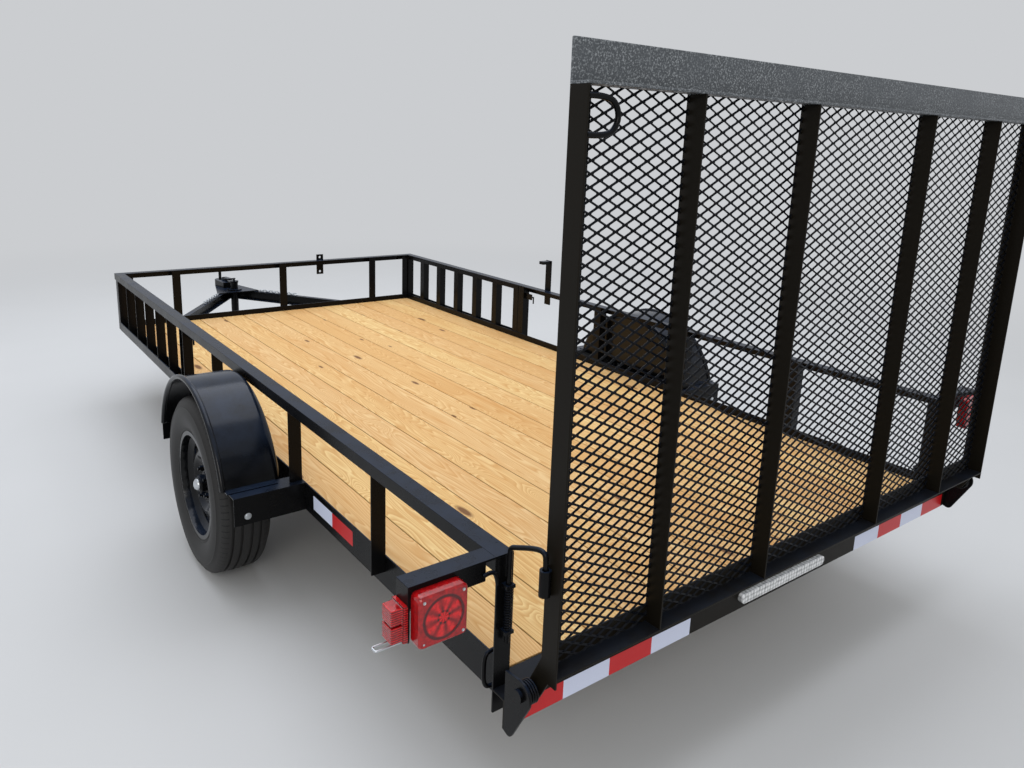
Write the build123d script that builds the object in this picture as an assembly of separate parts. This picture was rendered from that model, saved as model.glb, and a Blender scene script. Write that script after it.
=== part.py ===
"""Single-axle utility trailer with a wood deck, side rails with stowed ATV ramps and a rear ramp gate.

Millimetres. X points forward to the coupler, Y to the left, Z up, and the floor is Z = 0.
The stations along X are measured from the rear face of the rear posts, and save() moves
the finished solids so that the origin lies under the middle of the trailer.
"""
import os
from math import atan2, cos, degrees, hypot, pi, radians, sin, sqrt, tan

from build123d import *

INCH = 25.4

# ---- driving sizes --------------------------------------------------------------------
# bed
bed_half = 1003.0            # outer face of the side frame
bed_front = 4009.0           # outer face of the front frame
frame_bottom = 372.0
frame_leg = 102.0            # upright leg of the perimeter angle
frame_ledge = 64.0           # level leg of the perimeter angle
frame_wall = 5.0
board_count = 14
board_thick = 1.5 * INCH
board_width = 5.5 * INCH
board_end_gap = 4.0
deck_top = 441.0
joist_xs = (50.0, 560.0, 1120.0, 1668.0, 2230.0, 2800.0, 3400.0, 3940.0)
joist_leg = 3.0 * INCH
joist_flange = 2.0 * INCH
# rear sill
sill_rear = -45.0
sill_front = 40.0
sill_top = 440.0
sill_height = 3.0 * INCH
sill_half = bed_half + 47.0
sill_wall = 5.0
# rails and posts
angle = 2.0 * INCH           # 2 inch angle iron
angle_wall = 5.0
rail_top = 777.0
rail_lip = 1.5 * INCH
rear_post_bottom = 376.0
post_bottom = 423.0
post_on_bracket = 474.0      # the posts over a fender bracket stand on it
posts_left_at = ((606.0, post_bottom), (1226.0, post_on_bracket), (2090.0, post_on_bracket), (2550.0, post_bottom))
posts_right_at = ((606.0, post_bottom), (1226.0, post_on_bracket), (1850.0, post_bottom), (2550.0, post_bottom))
corner_lap = 46.0            # how far a front corner post laps over the front frame
front_post_ys = (-700.0, -10.0, 700.0)
# stowed side ramps
ramp_rear = 2606.0
ramp_rungs = 7
ramp_pitch = 232.0
ramp_bottom = 420.0
ramp_gap = 0.3
# gate
hinge_x = -98.0
hinge_z = 488.0
hinge_pin_d = 0.75 * INCH
gate_half = bed_half + 7.0   # the gate is a little wider than the bed
gate_depth = angle           # legs of the uprights that stand off the mesh
gate_rear = -169.0
gate_top = 1778.0            # where the uprights end under the lip
gate_bottom = 528.0          # foot of the edge angles
lip_height = 84.0
lip_wall = 6.0
upright_ys = (1010.0, 688.0, 282.0, -282.0, -688.0, -1010.0)
mesh_bottom = 548.0
mesh_pitch_y = 51.0          # long way of the diamond
mesh_pitch_z = 35.0          # short way of the diamond
mesh_strand = 3.6
mesh_thick = 1.6
# wheels
axle_x = 1668.0
tyre_radius = 344.0
tyre_width = 205.0
tyre_mid_y = 1170.0
rim_radius = 203.0
rim_width = 165.0
stud_circle = 57.0           # radius of the wheel studs
axle_drop = 100.0
axle_tube_d = 60.0
# fenders
fender_radius = 410.0
fender_mid_z = 355.0
fender_inner = 1057.0
fender_outer = 1262.0
fender_wall = 3.0
shoulder_radius = 28.0       # between the barrel and the inner skirt
foot_reach = 34.0
fender_foot = 474.0
bracket_x = 468.0            # from the axle to the far face of each fender bracket
# tongue
tongue_top = 400.0
tongue_depth = 76.0
tongue_width = 40.0
tongue_angle = 34.0          # between each bar and the centre line
tongue_apex = 5180.0
coupler_front = 5400.0
ball_x = 5330.0
ball_d = 2.0 * INCH
coupler_plate = 8.0
coupler_rear = 4965.0
socket_wall = 14.0
# jack
jack_x = 5060.0
jack_outer_d = 57.0
jack_inner_d = 45.0
jack_top = 470.0
jack_outer_bottom = 190.0
jack_foot_d = 120.0
jack_leg_lap = 75.0          # inner tube inside the outer one at rest
crank_reach = 110.0
grip_height = 70.0
# chains
link_wire = 7.0
link_inner = 30.0            # inside length of one link
link_gap = 10.0              # inside width of one link
link_count = 12
link_play = 1.6              # along the chain, between one link and the next
link_lift = 1.0
chain_start = 300.0          # from the apex, along the bar
# suspension
spring_y = 965.0
spring_width = 45.0
leaf_thick = 7.0
leaf_halves = (330.0, 250.0, 170.0, 90.0)
spring_rise = 30.0
eye_d = 32.0
eye_pin_d = 14.0
ubolt_d = 10.0
spindle_d = 38.0
# lamps
lamp_arm_out = 1275.0        # outer end of a lamp arm
arm_web_back = 26.0          # its lower leg stops short of the rail
lamp_size = 120.0
lamp_thick = 34.0
lamp_mid_y = 1208.0
lamp_mid_z = 705.0
marker_size = (54.0, 36.0, 86.0)

front_outer = bed_front + angle      # outer face of the front rail
rail_half = bed_half + angle         # outer face of the side rails
ear_radius = 36.0
rear_tip = gate_rear
x_mid = (coupler_front + rear_tip) / 2
pin_gap = 0.4
seat_gap = 0.3
ear_wall = 6.0
lug_radius = 22.0            # end of the gate's edge round the pin
latch_back = 14.0            # latch hooks and sleeves behind the gate's front plane
latch_out = 12.0             # and outside its edges
guide_levels = (585.0, 700.0)
guide_thick = 8.0
latch_height = 835.0         # level run of the latch rods
latch_rod_d = 12.0
hook_drop = 28.0
sleeve_length = 60.0
gate_clear = 5.0             # between the gate and what does not move with it


# ---- shared shapes --------------------------------------------------------------------
def block(x0, x1, y0, y1, z0, z1):
    """Box between two corners."""
    return Pos((x0 + x1) / 2, (y0 + y1) / 2, (z0 + z1) / 2) * Box(abs(x1 - x0), abs(y1 - y0), abs(z1 - z0))


def rod(start, end, diameter):
    """Round bar from one point to another."""
    a, b = Vector(*start), Vector(*end)
    line = b - a
    return Plane(origin=a, z_dir=line) * Cylinder(diameter / 2, line.length, align=(Align.CENTER, Align.CENTER, Align.MIN))


def mirror_y(shape):
    """The same piece on the other side of the trailer."""
    return shape.mirror(Plane.XZ)


def both_sides(shapes):
    """A list of pieces with their mirror images."""
    return list(shapes) + [mirror_y(s) for s in shapes]


def save(name, solids):
    """Write one node, moved to the trailer's own origin."""
    pieces = []
    for shape in solids:
        pieces += [Pos(-x_mid, 0, 0) * s for s in shape.solids()]
    export_step(Compound(children=pieces), f"parts/{name}.step")


def upright_angle(x, y, z0, z1, leg_x, leg_y):
    """Standing angle iron with its corner at x, y and legs of signed length leg_x and leg_y."""
    wx = angle_wall if leg_x > 0 else -angle_wall
    wy = angle_wall if leg_y > 0 else -angle_wall
    return block(x, x + leg_x, y, y + wy, z0, z1) + block(x, x + wx, y, y + leg_y, z0, z1)


def bent_bar(points, diameter, sides, close=False):
    """Round bar, drawn with a few flats, along straight runs that meet in mitres."""
    path = Polyline(*points, close=close)
    section = Plane(origin=path @ 0, z_dir=path % 0) * RegularPolygon(diameter / 2, sides)
    return sweep(section, path=path, transition=Transition.RIGHT)


def coil(inside, run, turns, steps, wire):
    """Spring wire wound round Z, clear of the inside radius, its middle rising from 0 to run."""
    count = turns * steps
    radius = (inside + wire / 2) / cos(pi / steps)
    points = []
    for i in range(count + 1):
        turn = 2 * pi * i / steps
        points.append((radius * cos(turn), radius * sin(turn), run * i / count))
    return bent_bar(points, wire, 4)


# ---- bed ------------------------------------------------------------------------------
def side_frame():
    inner = bed_half - frame_wall
    top = frame_bottom + frame_leg
    upright = block(sill_front, bed_front, inner, bed_half, frame_bottom, top)
    ledge_front = bed_front - frame_wall
    ledge = block(sill_front, ledge_front, bed_half - frame_ledge, inner, frame_bottom, frame_bottom + frame_wall)
    return upright + ledge


def front_frame():
    half = bed_half - frame_wall
    inner = bed_front - frame_wall
    top = frame_bottom + frame_leg
    upright = block(inner, bed_front, -half, half, frame_bottom, top)
    ledge_half = bed_half - frame_ledge
    ledge = block(bed_front - frame_ledge, inner, -ledge_half, ledge_half, frame_bottom, frame_bottom + frame_wall)
    return upright + ledge


def rear_sill():
    bottom = sill_top - sill_height
    wall = sill_wall
    top = block(sill_rear, 0, -sill_half, sill_half, sill_top - wall, sill_top)
    top += block(0, sill_front, -bed_half, bed_half, sill_top - wall, sill_top)
    rear = block(sill_rear, sill_rear + wall, -sill_half, sill_half, bottom, sill_top - wall)
    front = block(sill_front - wall, sill_front, -bed_half, bed_half, bottom, sill_top - wall)
    return top + rear + front


def joists():
    """Angles across the bed, under the boards, between the ledges of the side frames."""
    half = bed_half - frame_ledge
    board_bottom = deck_top - board_thick
    pieces = []
    for x in joist_xs:
        flange = block(x, x + joist_flange, -half, half, board_bottom - frame_wall, board_bottom)
        web = block(x, x + frame_wall, -half, half, board_bottom - joist_leg, board_bottom - frame_wall)
        pieces.append(flange + web)
    return pieces


def boards():
    inner = bed_half - frame_wall
    gap = (2 * inner - board_count * board_width) / (board_count + 1)
    x0, x1 = sill_front + board_end_gap, bed_front - frame_wall - board_end_gap
    pieces = []
    for i in range(board_count):
        y0 = -inner + gap + i * (board_width + gap)
        pieces.append(block(x0, x1, y0, y0 + board_width, deck_top - board_thick, deck_top))
    return pieces


# ---- rails, posts and stowed ramps ----------------------------------------------------
def side_rail():
    """Angle on its side: a level top over the posts and a lip down its outer face."""
    inner = rail_half - angle
    top = block(0, front_outer, inner, rail_half, rail_top - angle_wall, rail_top)
    lip = block(0, front_outer, rail_half - angle_wall, rail_half, rail_top - rail_lip, rail_top - angle_wall)
    return top + lip


def front_rail():
    half = rail_half - angle
    inner = front_outer - angle
    top = block(inner, front_outer, -half, half, rail_top - angle_wall, rail_top)
    lip = block(front_outer - angle_wall, front_outer, -half, half, rail_top - rail_lip, rail_top - angle_wall)
    return top + lip


def side_posts(stations):
    """Angle posts welded to the outer face of the side frame, under the rail."""
    top = rail_top - angle_wall
    reach = angle - angle_wall
    posts = [upright_angle(0, bed_half, rear_post_bottom, top, angle, reach)]
    for x, bottom in stations:
        posts.append(upright_angle(x, bed_half, bottom, top, angle, reach))
    corner_y = rail_half - angle_wall
    posts.append(upright_angle(bed_front, corner_y, post_bottom, top, reach, bed_half - corner_lap - corner_y))
    return posts


def front_posts():
    top = rail_top - angle_wall
    reach = angle - angle_wall
    return [upright_angle(bed_front, y - angle / 2, post_bottom, top, reach, angle) for y in front_post_ys]


def side_ramp():
    """Ramp stored on edge in the side: a long angle at its foot, one at its head, rungs between."""
    top = rail_top - angle_wall - ramp_gap
    y0 = bed_half + ramp_gap
    y1 = rail_half - angle_wall - ramp_gap
    last = ramp_rear + (ramp_rungs - 1) * ramp_pitch
    x1 = min(last + angle, bed_front - ramp_gap)
    foot = block(ramp_rear, x1, y0, y1, ramp_bottom, ramp_bottom + angle_wall)
    foot += block(ramp_rear, x1, y1 - angle_wall, y1, ramp_bottom + angle_wall, ramp_bottom + angle)
    head = block(ramp_rear, x1, y0, y0 + angle_wall, top - angle / 2, top)
    ramp = foot + head
    for i in range(ramp_rungs):
        x = ramp_rear + i * ramp_pitch
        leg = min(angle, x1 - x)
        rung = block(x, x + angle_wall, y0, y1, ramp_bottom, top)
        rung += block(x, x + leg, y0, y0 + angle_wall, ramp_bottom, top)
        ramp += rung
    return ramp


# ---- gate -----------------------------------------------------------------------------
def gate_edge(y, inward):
    """Edge angle: its standing leg ends in a lug drilled for the hinge pin, the other backs the mesh."""
    front = gate_rear + gate_depth
    y_in = y + inward * angle_wall
    leg = block(gate_rear, front, y, y_in, gate_bottom, gate_top)
    outline = make_hull([
        *(Pos(hinge_x, hinge_z) * Circle(lug_radius)).edges(),
        Line((front - angle / 2, gate_bottom), (front, gate_bottom + angle)),
    ])
    lug = side_plate(outline, min(y, y_in), max(y, y_in))
    backing = block(front - angle_wall, front, y_in, y + inward * angle, mesh_bottom, gate_top)
    bore = Pos(hinge_x, (y + y_in) / 2, hinge_z) * Rot(90, 0, 0) * Cylinder(hinge_pin_d / 2 + pin_gap, 4 * angle_wall)
    return leg + lug + backing - bore


def gate_frame():
    front = gate_rear + gate_depth
    half = gate_half - angle_wall
    edges = gate_edge(gate_half, -1) + gate_edge(-gate_half, 1)
    inner = gate_half - angle
    sole = block(front - angle_wall, front, -inner, inner, mesh_bottom, mesh_bottom + angle)
    sole += block(gate_rear, front - angle_wall, -half, half, mesh_bottom, mesh_bottom + angle_wall)
    return edges + sole


def gate_uprights():
    front = gate_rear + gate_depth
    z0 = mesh_bottom + angle
    pieces = []
    for y in upright_ys[1:-1]:
        web = block(gate_rear, front, y, y - angle_wall, z0, gate_top)
        backing = block(front - angle_wall, front, y - angle_wall, y - angle, z0, gate_top)
        foot = block(gate_rear, front - angle_wall, y, y - angle_wall, mesh_bottom + angle_wall, z0)
        pieces.append(web + backing + foot)
    return pieces


def gate_lip():
    front = gate_rear + gate_depth
    shelf = block(gate_rear, front, -gate_half, gate_half, gate_top, gate_top + lip_wall)
    face = block(front - lip_wall, front, -gate_half, gate_half, gate_top + lip_wall, gate_top + lip_height)
    return shelf + face


def gate_mesh():
    """Expanded metal as two crossed layers of slanting strands inside a thin border."""
    x0 = gate_rear + gate_depth
    half = gate_half - 6
    z0, z1 = mesh_bottom + 4, gate_top - 4
    slope = atan2(mesh_pitch_z, mesh_pitch_y)
    height = z1 - z0
    reach = height / tan(slope)
    length = hypot(height, reach)
    layers = []
    for sign, offset in ((1, 0.0), (-1, mesh_thick)):
        window = block(x0 + offset, x0 + offset + mesh_thick, -half, half, z0, z1)
        step = mesh_pitch_y
        count = int((2 * half + reach) / step) + 1
        for i in range(count):
            foot_y = sign * (-half - reach + (i + 0.5) * step)
            mid = Vector(x0 + offset + mesh_thick / 2, foot_y + sign * reach / 2, (z0 + z1) / 2)
            strand = Pos(mid) * Rot(sign * degrees(slope), 0, 0) * Box(mesh_thick, length * 1.2, mesh_strand)
            piece = strand & window
            if piece is not None:
                layers += [s for s in piece.solids() if s.bounding_box().size.Y > mesh_pitch_y / 2]
    return layers


def side_plate(sketch, y0, y1):
    """Flat plate in the X-Z plane, from its outline, between two stations of Y."""
    return extrude(Plane.XZ.offset(-y0) * sketch, amount=-(y1 - y0))


def hinge_ears():
    """Rounded plates behind the ends of the sill that carry the gate's pins."""
    wall = ear_wall
    bottom = sill_top - sill_height
    outline = make_hull([
        *(Pos(hinge_x, hinge_z) * Circle(ear_radius)).edges(),
        *(Pos(sill_rear - 16, bottom + 12) * Circle(16)).edges(),
        Line((sill_rear, hinge_z + ear_radius - 6), (sill_rear, bottom)),
    ])
    plate = side_plate(outline, sill_half - wall, sill_half)
    bore = Pos(hinge_x, sill_half, hinge_z) * Rot(90, 0, 0) * Cylinder(hinge_pin_d / 2 + pin_gap, 4 * wall)
    return plate - bore


def hinge_pin():
    """Headed pin from the ear, through the spring's coils, into the gate's edge."""
    radius = hinge_pin_d / 2
    inner = gate_half - angle_wall - 12
    shaft = rod((hinge_x, inner, hinge_z), (hinge_x, sill_half, hinge_z), 2 * radius)
    head = rod((hinge_x, sill_half + 0.3, hinge_z), (hinge_x, sill_half + 8, hinge_z), 2 * radius + 12)
    neck = rod((hinge_x, sill_half, hinge_z), (hinge_x, sill_half + 0.3, hinge_z), 2 * radius)
    return shaft + neck + head


def gate_spring():
    """Torsion spring round the hinge pin that carries part of the gate's weight."""
    wire = 5.0
    steps = 8
    inside = hinge_pin_d / 2 + seat_gap
    start = gate_half + gate_clear + wire / 2
    run = sill_half - ear_wall - seat_gap - wire / 2 - start
    turns = int(run / (wire + seat_gap))
    return Pos(hinge_x, start, hinge_z) * Rot(-90, 0, 0) * coil(inside, run, turns, steps, wire)


def gate_latch():
    """Spring-loaded bent rod on the rear post whose hook holds the gate's edge."""
    post_y = bed_half + 21
    x, z_low = -latch_rod_d, 560.0
    hook_x, hook_y = gate_rear + gate_depth - latch_back, gate_half + latch_out
    bend = 12.0
    return bent_bar([
        (x, post_y, z_low), (x, post_y, latch_height - bend), (x - bend, post_y, latch_height),
        (hook_x + bend, hook_y, latch_height), (hook_x, hook_y, latch_height - bend),
        (hook_x, hook_y, latch_height - hook_drop),
    ], latch_rod_d, 8)


def latch_guides():
    """Two drilled lugs on the rear post that guide the latch rod."""
    post_y = bed_half + 21
    x, half = -latch_rod_d, 12.0
    pieces = []
    for z in guide_levels:
        lug = block(x - half + 2, 0, post_y - half, post_y + half, z, z + guide_thick)
        lug -= rod((x, post_y, z - 5), (x, post_y, z + guide_thick + 5), latch_rod_d + 1.0)
        pieces.append(lug)
    return pieces


def latch_spring():
    """Compression spring on the latch rod, between the lugs."""
    wire = 2.6
    turns, steps = 9, 6
    low, high = guide_levels
    start = low + guide_thick + seat_gap + wire / 2
    run = high - seat_gap - wire / 2 - start
    inside = latch_rod_d / 2 + seat_gap
    return Pos(-latch_rod_d, bed_half + 21, start) * coil(inside, run, turns, steps, wire)


def gate_sleeves():
    """Short tubes on the outer faces of the gate's edges, under the latch hooks."""
    hook_x, hook_y = gate_rear + gate_depth - latch_back, gate_half + latch_out
    top = latch_height - hook_drop - gate_clear - 1
    foot, radius = top - sleeve_length, latch_out + 1
    tube = rod((hook_x, hook_y, foot), (hook_x, hook_y, top), 2 * radius) - rod(
        (hook_x, hook_y, foot - 1), (hook_x, hook_y, top + 1), latch_rod_d + 3)
    return [tube & block(hook_x - 30, hook_x + 30, gate_half, gate_half + 60, foot - 1, top + 1)]


def gate_loop():
    """Bent bar at the gate's upper left corner, welded to the edge angle."""
    d = 10.0
    x, y = gate_rear + d / 2, gate_half - angle_wall
    reach, height, bend = 78.0, 70.0, 20.0
    top = gate_top - 20
    return bent_bar([
        (x, y, top), (x, y - reach + bend, top), (x, y - reach, top - bend),
        (x, y - reach, top - height + bend), (x, y - reach + bend, top - height), (x, y, top - height),
    ], d, 8)


# ---- running gear ---------------------------------------------------------------------
def tyre():
    """Radial tyre: flat crowned tread, sloped shoulders and bulged sides down to the beads."""
    r, half = tyre_radius, tyre_width / 2
    bead = rim_radius - 6
    flank = [
        (rim_radius + 8, rim_width / 2 - 1), ((bead + r) / 2 - 30, half - 4), ((bead + r) / 2 + 12, half),
        (r - 26, half - 8), (r - 9, half - 15), (r - 3, half - 28), (r, 34),
    ]
    outline = flank + [(radius, -y) for radius, y in reversed(flank)]
    outline += [(bead, 3 - rim_width / 2), (bead, rim_width / 2 - 3), flank[0]]
    face = make_face(Polyline(*outline).edges())
    return Pos(axle_x, tyre_mid_y, tyre_radius) * revolve(face, axis=Axis.Y)


def wheel():
    """Pressed steel wheel: flanged rim with its well, and a dished disc with hand holes."""
    r, half, wall = rim_radius, rim_width / 2, 4.0
    seat = r - 6 - wall - 0.3
    well = seat - 20
    rim = revolve(make_face(Polyline(
        (r + 6, -half - wall), (seat, -half - wall), (seat, 14), (well, 32), (well, half - 42), (seat, half - 24),
        (seat, half + wall), (r + 6, half + wall), (r + 6, half), (seat + wall, half), (seat + wall, -half),
        (r + 6, -half), (r + 6, -half - wall),
    ).edges()), axis=Axis.Y)
    dish = Polyline(
        (42, 34), (90, 34), (108, 52), (150, 42), (well + 2, 35), (well + 2, 41), (150, 48),
        (108, 58), (88, 40), (42, 40), (42, 34),
    )
    disc = revolve(make_face(dish.edges()), axis=Axis.Y)
    hole = Polyline((125, -11), (132, -19), (154, -19), (161, -11), (161, 11), (154, 19), (132, 19), (125, 11), (125, -11))
    for i in range(8):
        disc -= Rot(0, 45 * i, 0) * Rot(90, 0, 0) * extrude(make_face(hole.edges()), amount=-90)
    for i in range(5):
        disc -= Rot(0, 72 * i, 0) * Pos(stud_circle, 0, 0) * Rot(90, 0, 0) * extrude(RegularPolygon(7.6, 8), amount=-90)
    return Pos(axle_x, tyre_mid_y, tyre_radius) * (rim + disc)


def hub():
    """Hub turned on the spindle, with its flange, five wheel studs with nuts and a grease cap."""
    bore = spindle_d / 2 + pin_gap
    outline = Polyline(
        (bore, -62), (40, -62), (40, 12), (78, 12), (78, 33.7), (40.5, 33.7), (40.5, 48), (bore, 48), (bore, -62),
    )
    body = revolve(make_face(outline.edges()), axis=Axis.Y)
    cap = revolve(make_face(Polyline((0, 48), (33, 48), (33, 66), (27, 73), (0, 75), (0, 48)).edges()), axis=Axis.Y)
    hub_body = body + cap
    for i in range(5):
        place = Rot(0, 72 * i, 0) * Pos(stud_circle, 0, 0) * Rot(90, 0, 0)
        hub_body += place * extrude(RegularPolygon(6, 6), amount=-67)
        hub_body += place * Pos(0, 0, -41.5) * extrude(RegularPolygon(11, 6), amount=-18)
    return Pos(axle_x, tyre_mid_y, tyre_radius) * hub_body


def axle():
    """Drop axle: a tube low across the bed, an arm up at each end and the spindles."""
    low = tyre_radius - axle_drop
    arm_y = bed_half + 18
    tube = rod((axle_x, -arm_y, low), (axle_x, arm_y, low), axle_tube_d)
    shape = tube
    for side in (1, -1):
        arm = make_hull([
            *(Pos(axle_x, low) * Circle(axle_tube_d / 2)).edges(),
            *(Pos(axle_x, tyre_radius) * Circle(spindle_d / 2 + 8)).edges(),
        ])
        plate = side_plate(arm, arm_y, arm_y + 24)
        spindle = rod((axle_x, arm_y + 24, tyre_radius), (axle_x, tyre_mid_y + 40, tyre_radius), spindle_d)
        part = plate + spindle
        shape += part if side > 0 else mirror_y(part)
    return shape


def leaf_spring():
    """Four stacked leaves on the axle's seat, the longest with an eye at each end."""
    base = tyre_radius - axle_drop + axle_tube_d / 2 + 4
    longest = leaf_halves[0]
    radius = (longest ** 2 + spring_rise ** 2) / (2 * spring_rise)
    pack = leaf_thick * len(leaf_halves)
    centre_z = base + pack + radius
    y0, y1 = spring_y - spring_width / 2, spring_y + spring_width / 2
    pieces = []
    for i, reach in enumerate(leaf_halves):
        inner, outer = radius + i * leaf_thick, radius + (i + 1) * leaf_thick
        ring = Pos(axle_x, centre_z) * (Circle(outer) - Circle(inner))
        window = Pos(axle_x, base + pack / 2) * Rectangle(2 * reach, 4 * pack + 60)
        leaf = side_plate(ring & window, y0, y1)
        if i == 0:
            for sign in (1, -1):
                x = axle_x + sign * (longest + eye_d / 2 - 3)
                eye = Pos(x, base + pack + spring_rise - 2) * Circle(eye_d / 2)
                leaf += side_plate(eye, y0, y1)
            for sign in (1, -1):
                x = axle_x + sign * (longest + eye_d / 2 - 3)
                leaf -= side_plate(Pos(x, base + pack + spring_rise - 2) * Circle(eye_pin_d / 2 + pin_gap), y0, y1)
        pieces.append(leaf)
    return pieces


def spring_hangers():
    """Pairs of plates under the side frame, with a pin through each spring eye."""
    base = tyre_radius - axle_drop + axle_tube_d / 2 + 4
    pack = leaf_thick * len(leaf_halves)
    eye_z = base + pack + spring_rise - 2
    pieces = []
    for sign in (1, -1):
        x = axle_x + sign * (leaf_halves[0] + eye_d / 2 - 3)
        outline = make_hull([
            *(Pos(x, eye_z) * RegularPolygon(eye_d / 2 + 3, 12)).edges(),
            Line((x - 30, frame_bottom), (x + 30, frame_bottom)),
        ])
        gap = spring_width / 2 + 0.5
        plates = side_plate(outline, spring_y + gap, spring_y + gap + 6)
        plates += side_plate(outline, spring_y - gap - 6, spring_y - gap)
        pin = rod((x, spring_y - gap - 12, eye_z), (x, spring_y + gap + 12, eye_z), eye_pin_d)
        pieces.append(plates + pin)
    return pieces


def spring_seats():
    """Seat on the axle tube, the plate over the leaves and two U-bolts round the tube."""
    low = tyre_radius - axle_drop
    base = low + axle_tube_d / 2 + 4
    pack = leaf_thick * len(leaf_halves)
    top = base + pack + 0.65
    half = spring_width / 2
    leg = axle_tube_d / 2 + ubolt_d / 2 + 0.4
    plate = block(axle_x - leg - 12, axle_x + leg + 12, spring_y - half - 14, spring_y + half + 14, top, top + 8)
    shape = plate
    for y in (spring_y - half - ubolt_d / 2 - 1, spring_y + half + ubolt_d / 2 + 1):
        side = leg / cos(pi / 8)
        points = [(axle_x - leg, y, top + 18)]
        for i in range(4):
            turn = radians(202.5 + 45 * i)
            points.append((axle_x + side * cos(turn), y, low + side * sin(turn)))
        points.append((axle_x + leg, y, top + 18))
        shape += bent_bar(points, ubolt_d, 6)
    seat = block(axle_x - 24, axle_x + 24, spring_y - half, spring_y + half, low, base - 0.3)
    seat -= rod((axle_x, spring_y - 60, low), (axle_x, spring_y + 60, low), axle_tube_d + 0.6)
    return [shape, seat]


# ---- fenders --------------------------------------------------------------------------
def fender():
    """Round pressed fender: barrel over the tyre, rolled outer bead, rounded inner shoulder, skirt and feet."""
    r, wall = fender_radius, fender_wall
    y0, y1 = fender_inner, fender_outer
    outer = FilletPolyline((0, y0), (r, y0), (r, y1), radius=shoulder_radius)
    inner = FilletPolyline((0, y0 + wall), (r - wall, y0 + wall), (r - wall, y1), radius=shoulder_radius - wall)
    bead = Polyline(
        (r, y1), (r + 5, y1 + 2), (r + 5, y1 + 7), (r, y1 + 9), (r - wall - 5, y1 + 9), (r - wall - 5, y1), (r - wall, y1),
    )
    middle = Line((0, y0), (0, y0 + wall))
    section = make_face([*outer.edges(), *bead.edges(), *inner.edges(), *middle.edges()])
    above = block(axle_x - 2 * r, axle_x + 2 * r, y0, y1 + 9, fender_foot, fender_foot + 2 * r)
    shape = (Pos(axle_x, 0, fender_mid_z) * revolve(section, axis=Axis.Y)) & above
    foot_x = sqrt(r ** 2 - (fender_foot - fender_mid_z) ** 2)
    for sign in (1, -1):
        x0, x1 = sorted((axle_x + sign * (foot_x - wall), axle_x + sign * (foot_x + foot_reach)))
        shape += block(x0, x1, y0 + shoulder_radius, y1, fender_foot, fender_foot + wall)
    return shape


def fender_bracket(sign):
    """Angle out from the side frame to a foot of the fender."""
    far = axle_x + sign * bracket_x
    near = far - sign * 4.0
    top = fender_foot
    foot_x = axle_x + sign * (sqrt(fender_radius ** 2 - (fender_foot - fender_mid_z) ** 2) - 2)
    web = block(near, far, bed_half, fender_outer - 8, frame_bottom, top - 5)
    flange = block(foot_x, far, bed_half, fender_outer - 8, top - 5, top)
    return web + flange


# ---- tongue ---------------------------------------------------------------------------
def tongue_bar():
    """Channel from the front frame to the apex, cut on the centre line and at the frame."""
    length = 1700.0
    slope = radians(tongue_angle)
    mid = Vector(tongue_apex - cos(slope) * length / 2, sin(slope) * length / 2, tongue_top - tongue_depth / 2)
    bar = Box(length + 200, tongue_width, tongue_depth)
    hollow = Pos(0, -6, 0) * Box(length + 220, tongue_width, tongue_depth - 12)
    channel = Pos(mid) * Rot(0, 0, -tongue_angle) * (bar - hollow)
    window = block(bed_front, tongue_apex + 30, 0, bed_half, 0, deck_top)
    return channel & window


def coupler():
    """Pressed coupler: a base plate over both bars, with a jack hole, and a ball housing."""
    z = tongue_top
    half = (tongue_apex - coupler_rear) * tan(radians(tongue_angle)) + tongue_width / 2
    nose = coupler_front - ball_x
    plan = make_hull([
        *(Pos(ball_x, 0) * Circle(nose)).edges(),
        Line((coupler_rear, -half), (coupler_rear, half)),
    ])
    plate = Pos(0, 0, z) * extrude(plan, amount=coupler_plate)
    housing_plan = make_hull([
        *(Pos(ball_x, 0) * Circle(nose)).edges(),
        Line((tongue_apex - 20, -nose * 0.8), (tongue_apex - 20, nose * 0.8)),
    ])
    housing = Pos(0, 0, z + coupler_plate) * extrude(housing_plan, amount=44)
    collar = Pos(ball_x, 0, z - 16) * Cylinder(ball_d / 2 + socket_wall, 16, align=(Align.CENTER, Align.CENTER, Align.MIN))
    body = plate + housing + collar
    ball_z = z + 8
    body -= Pos(ball_x, 0, ball_z) * Sphere(ball_d / 2 + 0.6)
    body -= Pos(ball_x, 0, z - 20) * Cylinder(ball_d / 2 + 0.6, ball_z - z + 20, align=(Align.CENTER, Align.CENTER, Align.MIN))
    body -= Pos(jack_x, 0, z + coupler_plate / 2) * Cylinder(jack_outer_d / 2 + 0.3, 3 * coupler_plate)
    return body


def coupler_latch():
    """Over-centre lever on top of the ball housing, with its pivot lugs."""
    z = tongue_top + coupler_plate + 44
    x0 = ball_x - 20
    lever_side = make_hull([
        *(Pos(x0, z + 12) * Circle(11)).edges(),
        *(Pos(x0 - 150, z + 26) * Circle(7)).edges(),
    ])
    lever = side_plate(lever_side, -14, 14)
    lugs = side_plate(Pos(x0, z + 9) * Rectangle(26, 18), 15, 19) + side_plate(Pos(x0, z + 9) * Rectangle(26, 18), -19, -15)
    pin = rod((x0, -22, z + 11), (x0, 22, z + 11), 8)
    return [lugs + pin + lever]


def jack_body():
    """Outer tube through the coupler plate, with a mounting collar and a cap."""
    top = jack_top
    outer = rod((jack_x, 0, jack_outer_bottom), (jack_x, 0, top), jack_outer_d)
    bore = rod((jack_x, 0, jack_outer_bottom - 1), (jack_x, 0, top - 12), jack_inner_d + 2)
    seat = tongue_top + coupler_plate
    collar = rod((jack_x, 0, seat), (jack_x, 0, seat + 10), 112)
    cap = rod((jack_x, 0, top), (jack_x, 0, top + 12), jack_outer_d + 8)
    return outer + collar + cap - bore


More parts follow.
